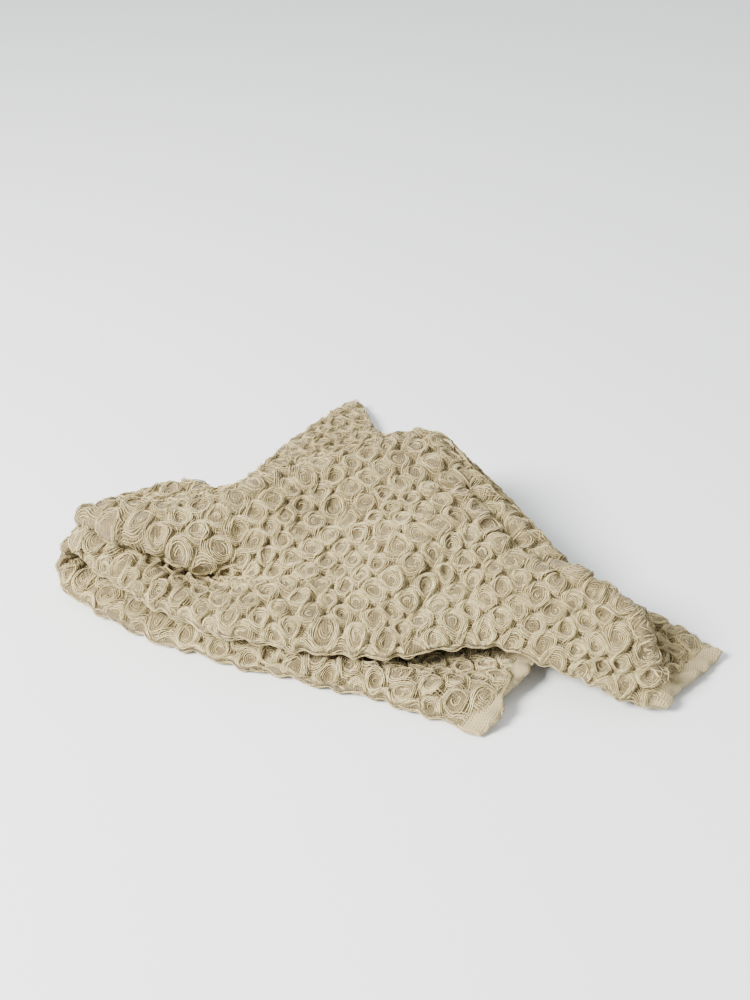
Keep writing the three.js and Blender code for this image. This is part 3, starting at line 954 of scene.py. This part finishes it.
TUBE_SIDES = 3
TONE_STEP = 0.37
TONE_ROUND = 50


def tubes(name, lines, radius):
    """Closed thin three-sided tubes along lines, joined in one mesh."""
    points = []
    faces = []
    maps = []
    count = 0
    turns = np.arange(TUBE_SIDES) * math.tau / TUBE_SIDES + math.pi / 4
    for number, (spots, normals, marks) in enumerate(lines):
        ahead = np.gradient(spots, axis=0)
        ahead /= np.linalg.norm(ahead, axis=1, keepdims=True) + 1e-9
        aside = np.cross(ahead, normals)
        aside /= np.linalg.norm(aside, axis=1, keepdims=True) + 1e-9
        up = np.cross(aside, ahead)
        size = radius * (0.9 + 0.25 * CHANCE.random())
        ring = spots[:, None] + size * (
            np.cos(turns)[None, :, None] * aside[:, None] + np.sin(turns)[None, :, None] * up[:, None])
        points.append(ring.reshape(-1, 3))
        length = len(spots)
        map_a = np.repeat(marks[:, None], TUBE_SIDES, axis=1)
        map_b = np.full_like(map_a, (number * TONE_STEP) % TONE_ROUND)
        maps.append(np.stack([map_a, map_b], axis=2).reshape(-1, 2))
        index = count + np.arange(length * TUBE_SIDES).reshape(length, TUBE_SIDES)
        wrapped = np.concatenate([index, index[:, :1]], axis=1)
        faces.append(quads(wrapped)[:, ::-1])
        faces.append(np.append(index[0], -1)[None, :])
        faces.append(np.append(index[-1][::-1], -1)[None, :])
        count += length * TUBE_SIDES
    strand_map = ("strand", np.concatenate(maps))
    return make_object(name, np.concatenate(points), np.concatenate(faces), (strand_map,))


FINE_MARGIN = 3
HEM_OVERLAP = 1.2
STRIP_HEM_OVERLAP = 0.5
OFF_EDGE = 0.1
UNDER_FRONT_WIDTH = 8


def row_mm(i):
    return i / (ROW_COUNT - 1) * ROWS[-1]


def upper_region(i, j):
    fields = read_fields(i, j)
    off_hem = fields[..., HEM] > HEM_WIDTH - HEM_OVERLAP
    return (row_mm(i) > OUTER_FINE_START + FINE_MARGIN) & off_hem & (fields[..., EDGE] > OFF_EDGE)


def strip_region(i, j):
    fields = read_fields(i, j)
    off_rim = (fields[..., HEM] > HEM_WIDTH - STRIP_HEM_OVERLAP) & (fields[..., EDGE] > OFF_EDGE)
    in_front = j / (COLUMN_COUNT - 1) < FRONT_STRIP_SHARE - 0.01
    return (row_mm(i) < INNER_FINE_END - FINE_MARGIN) & in_front & off_rim


def under_front_region(i, j):
    fields = read_fields(i, j)
    off_hem = fields[..., HEM] > HEM_WIDTH - HEM_OVERLAP
    in_front = fields[..., FRONT] < UNDER_FRONT_WIDTH
    return (row_mm(i) < OUTER_FINE_START + FINE_MARGIN) & in_front & off_hem


def halves(name, lines):
    half = len(lines) // 2
    left = tubes(name + "_left", lines[:half], YARN_RADIUS)
    right = tubes(name + "_right", lines[half:], YARN_RADIUS)
    return [left, right]


def build_yarns():
    weft = long_yarns("weft")
    warp = long_yarns("warp")
    rings = ring_yarns()
    made = halves("weft_yarns", laid_yarns(weft, 1, upper_region))
    made += halves("warp_yarns", laid_yarns(warp, 1, upper_region))
    made += halves("cell_rings", laid_yarns(rings, 1, upper_region))
    low = laid_yarns(weft, -1, strip_region) + laid_yarns(warp, -1, strip_region)
    low += laid_yarns(weft, 1, under_front_region, 0.0) + laid_yarns(warp, 1, under_front_region, 0.0)
    low += laid_yarns(rings, 1, under_front_region, 0.0)
    made.append(tubes("lower_layer_yarns", low + laid_yarns(rings, -1, strip_region), YARN_RADIUS))
    made.append(tubes("selvedge_yarns", rim_yarns(), YARN_RADIUS))
    return made


# Materials

# Painted shade: the ground's colours are kept darker than the yarns' to stand for the shade in the gaps and
# nest middles between the yarns; the hem colour is the cotton without that painted shade.
GROUND_PAINTED_SHADE_COLOURS = ((0.15, 0.109, 0.048), (0.25, 0.191, 0.093))
YARN_COLOURS = ((0.345, 0.268, 0.117), (0.64, 0.528, 0.268))
HEM_COLOUR = (0.44, 0.352, 0.178, 1)
FLOOR_COLOUR = (0.90, 0.915, 0.905, 1)
TONE_RANGE = (0.34, 0.66)
BROAD_SHARE = 0.45
STRAND_TONE = 0.62
WEAVE_SCALE = 4.4
TWIST_SCALE = 0.4
GROUND_BUMP = 0.0004
YARN_BUMP = 0.00015
HEM_MAP_END = HEM_WIDTH / RIM_MAP_SCALE


def set_inputs(node, values):
    for socket, value in values.items():
        node.inputs[socket].default_value = value


def add(tree, kind, values=None, **settings):
    """A new node with its settings, and the values of its inputs."""
    node = tree.nodes.new(kind)
    for name, value in settings.items():
        setattr(node, name, value)
    set_inputs(node, values or {})
    return node


def wire(tree, source, output, target, socket):
    tree.links.new(source.outputs[output], target.inputs[socket])


def tone_group():
    """Uneven undyed cotton: a mask and a fine fibre height, both from where a spot is on the object."""
    group = bpy.data.node_groups.new("cotton_tone", "ShaderNodeTree")
    group.interface.new_socket("Place", in_out="INPUT", socket_type="NodeSocketVector")
    group.interface.new_socket("Tone", in_out="OUTPUT", socket_type="NodeSocketFloat")
    group.interface.new_socket("Fibre", in_out="OUTPUT", socket_type="NodeSocketFloat")
    entry = add(group, "NodeGroupInput")
    leave = add(group, "NodeGroupOutput")
    broad = add(group, "ShaderNodeTexNoise", {"Scale": 38, "Detail": 3})
    fine = add(group, "ShaderNodeTexNoise", {"Scale": 420, "Detail": 2})
    fibre = add(group, "ShaderNodeTexNoise", {"Scale": 3200, "Detail": 2})
    join = add(group, "ShaderNodeMath", {1: BROAD_SHARE}, operation="MULTIPLY_ADD")
    scale = add(group, "ShaderNodeMath", {1: 1 - BROAD_SHARE}, operation="MULTIPLY")
    for node in (broad, fine, fibre):
        wire(group, entry, "Place", node, "Vector")
    wire(group, fine, "Fac", scale, 0)
    wire(group, broad, "Fac", join, 0)
    wire(group, scale, 0, join, 2)
    wire(group, join, 0, leave, "Tone")
    wire(group, fibre, "Fac", leave, "Fibre")
    return group


def cotton(name, colours, roughness, group):
    """An uneven cotton material between a dark and a light colour."""
    material = bpy.data.materials.new(name)
    material.use_nodes = True
    tree = material.node_tree
    shader = tree.nodes["Principled BSDF"]
    place = add(tree, "ShaderNodeTexCoord")
    tone = add(tree, "ShaderNodeGroup")
    tone.node_tree = group
    ramp = add(tree, "ShaderNodeValToRGB")
    for stop, position, colour in zip(ramp.color_ramp.elements, TONE_RANGE, colours):
        stop.position = position
        stop.color = (*colour, 1)
    wire(tree, place, "Object", tone, "Place")
    wire(tree, tone, "Tone", ramp, "Fac")
    wire(tree, ramp, "Color", shader, "Base Color")
    set_inputs(shader, {"Roughness": roughness, "Specular IOR Level": 0.18,
                        "Sheen Weight": 0.12, "Sheen Roughness": 0.6})
    return material, tree, shader, tone, ramp


def bumped(tree, shader, height, strength, distance):
    bump = add(tree, "ShaderNodeBump", {"Strength": strength, "Distance": distance})
    wire(tree, height, 0, bump, "Height")
    wire(tree, bump, "Normal", shader, "Normal")


def ground_material(group):
    """The plain ground under the yarns: fine crossed threads, darkened with painted shade for the gaps and
    nest middles between the yarns, and paler in the hems, where that painted shade is left out.
    """
    material, tree, shader, tone, ramp = cotton("cotton_ground", GROUND_PAINTED_SHADE_COLOURS, 0.94, group)
    cells = add(tree, "ShaderNodeUVMap", uv_map="cells")
    weave = add(tree, "ShaderNodeMath", operation="MAXIMUM")
    for number, direction in enumerate(("X", "Y")):
        wave = add(tree, "ShaderNodeTexWave", {"Scale": WEAVE_SCALE, "Distortion": 1.2, "Detail": 1},
                   bands_direction=direction)
        wire(tree, cells, "UV", wave, "Vector")
        wire(tree, wave, "Fac", weave, number)
    height = add(tree, "ShaderNodeMath", {1: 0.35}, operation="MULTIPLY_ADD")
    wire(tree, tone, "Fibre", height, 0)
    wire(tree, weave, 0, height, 2)
    # The hems leave out the ground's painted shade and show the paler cotton.
    rims = add(tree, "ShaderNodeUVMap", uv_map="rims")
    parts = add(tree, "ShaderNodeSeparateXYZ")
    hem = add(tree, "ShaderNodeMapRange",
              {"From Min": HEM_MAP_END, "From Max": HEM_MAP_END + 0.12, "To Min": 1, "To Max": 0})
    paler = add(tree, "ShaderNodeMix", {7: HEM_COLOUR}, data_type="RGBA")
    wire(tree, rims, "UV", parts, "Vector")
    wire(tree, parts, "X", hem, "Value")
    wire(tree, hem, "Result", paler, 0)
    wire(tree, ramp, "Color", paler, 6)
    wire(tree, paler, 2, shader, "Base Color")
    bumped(tree, shader, height, 0.8, GROUND_BUMP)
    return material


def yarn_material(group):
    """Loosely spun cotton yarn: slanting twist, fine fibres and a tone of its own for each strand."""
    material, tree, shader, tone, ramp = cotton("cotton_yarn", YARN_COLOURS, 0.9, group)
    strand = add(tree, "ShaderNodeUVMap", uv_map="strand")
    parts = add(tree, "ShaderNodeSeparateXYZ")
    chance = add(tree, "ShaderNodeTexWhiteNoise", noise_dimensions="1D")
    uneven = add(tree, "ShaderNodeMath", {1: STRAND_TONE}, operation="MULTIPLY_ADD")
    shift = add(tree, "ShaderNodeMath", {1: STRAND_TONE / 2}, operation="SUBTRACT")
    wire(tree, strand, "UV", parts, "Vector")
    wire(tree, parts, "Y", chance, "W")
    wire(tree, chance, "Value", uneven, 0)
    wire(tree, tone, "Tone", uneven, 2)
    wire(tree, uneven, 0, shift, 0)
    wire(tree, shift, 0, ramp, "Fac")
    wave = add(tree, "ShaderNodeTexWave", {"Scale": TWIST_SCALE, "Distortion": 2.5, "Detail": 2},
               bands_direction="X")
    wire(tree, strand, "UV", wave, "Vector")
    height = add(tree, "ShaderNodeMath", {1: 1.0}, operation="MULTIPLY_ADD")
    wire(tree, tone, "Fibre", height, 0)
    wire(tree, wave, "Fac", height, 2)
    bumped(tree, shader, height, 0.5, YARN_BUMP)
    return material


# The pieces

TONE = tone_group()
GROUND = ground_material(TONE)
YARN = yarn_material(TONE)

cloth = build_cloth()
cloth.data.materials.append(GROUND)
yarns = build_yarns()
for piece in yarns:
    piece.data.materials.append(YARN)
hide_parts("towel")
for piece in [cloth] + yarns:
    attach(piece, "root")

# The floor, the light and the camera

bpy.ops.object.select_all(action="DESELECT")
bpy.ops.mesh.primitive_plane_add(size=60, location=(0, 0, -0.0002))
floor = bpy.context.active_object
floor.name = "pale_floor"
floor_material = bpy.data.materials.new("pale_floor")
floor_material.use_nodes = True
floor_shader = floor_material.node_tree.nodes["Principled BSDF"]
set_inputs(floor_shader, {"Base Color": FLOOR_COLOUR, "Roughness": 0.85, "Specular IOR Level": 0.1})
floor.data.materials.append(floor_material)


def soft_light(name, spot, size, power, colour):
    """A round light turned toward the towel."""
    data = bpy.data.lights.new(name, "AREA")
    data.shape = "DISK"
    data.size = size
    data.energy = power
    data.color = colour
    made = bpy.data.objects.new(name, data)
    bpy.context.scene.collection.objects.link(made)
    made.location = spot
    run = -np.array(spot, float)
    lean = math.atan2(math.hypot(run[0], run[1]), -run[2])
    made.rotation_euler = (lean, 0, math.atan2(run[1], run[0]) - math.pi / 2)


soft_light("key_light", (-0.68, -0.44, 0.72), 0.44, 39, (1.0, 0.99, 0.97))
soft_light("fill_light", (0.3, 0.6, 1.6), 1.8, 8, (0.97, 0.985, 1.0))

world = bpy.data.worlds.new("pale_room")
world.use_nodes = True
set_inputs(world.node_tree.nodes["Background"], {"Color": (0.93, 0.96, 1.0, 1), "Strength": 0.85})
bpy.context.scene.world = world

CAMERA_AIM = -PLAN_MIDDLE * MM
CAMERA_RISE = math.radians(35)
CAMERA_AWAY = 0.43
CAMERA_VIEW = math.radians(36)
camera_data = bpy.data.cameras.new("camera")
camera_data.sensor_fit = "HORIZONTAL"
camera_data.angle = CAMERA_VIEW
camera_data.clip_start = 0.01
camera = bpy.data.objects.new("camera", camera_data)
bpy.context.scene.collection.objects.link(camera)
camera.location = CAMERA_AIM + CAMERA_AWAY * np.array([0, -math.cos(CAMERA_RISE), math.sin(CAMERA_RISE)])
camera.rotation_euler = (math.pi / 2 - CAMERA_RISE, 0, 0)
bpy.context.scene.camera = camera
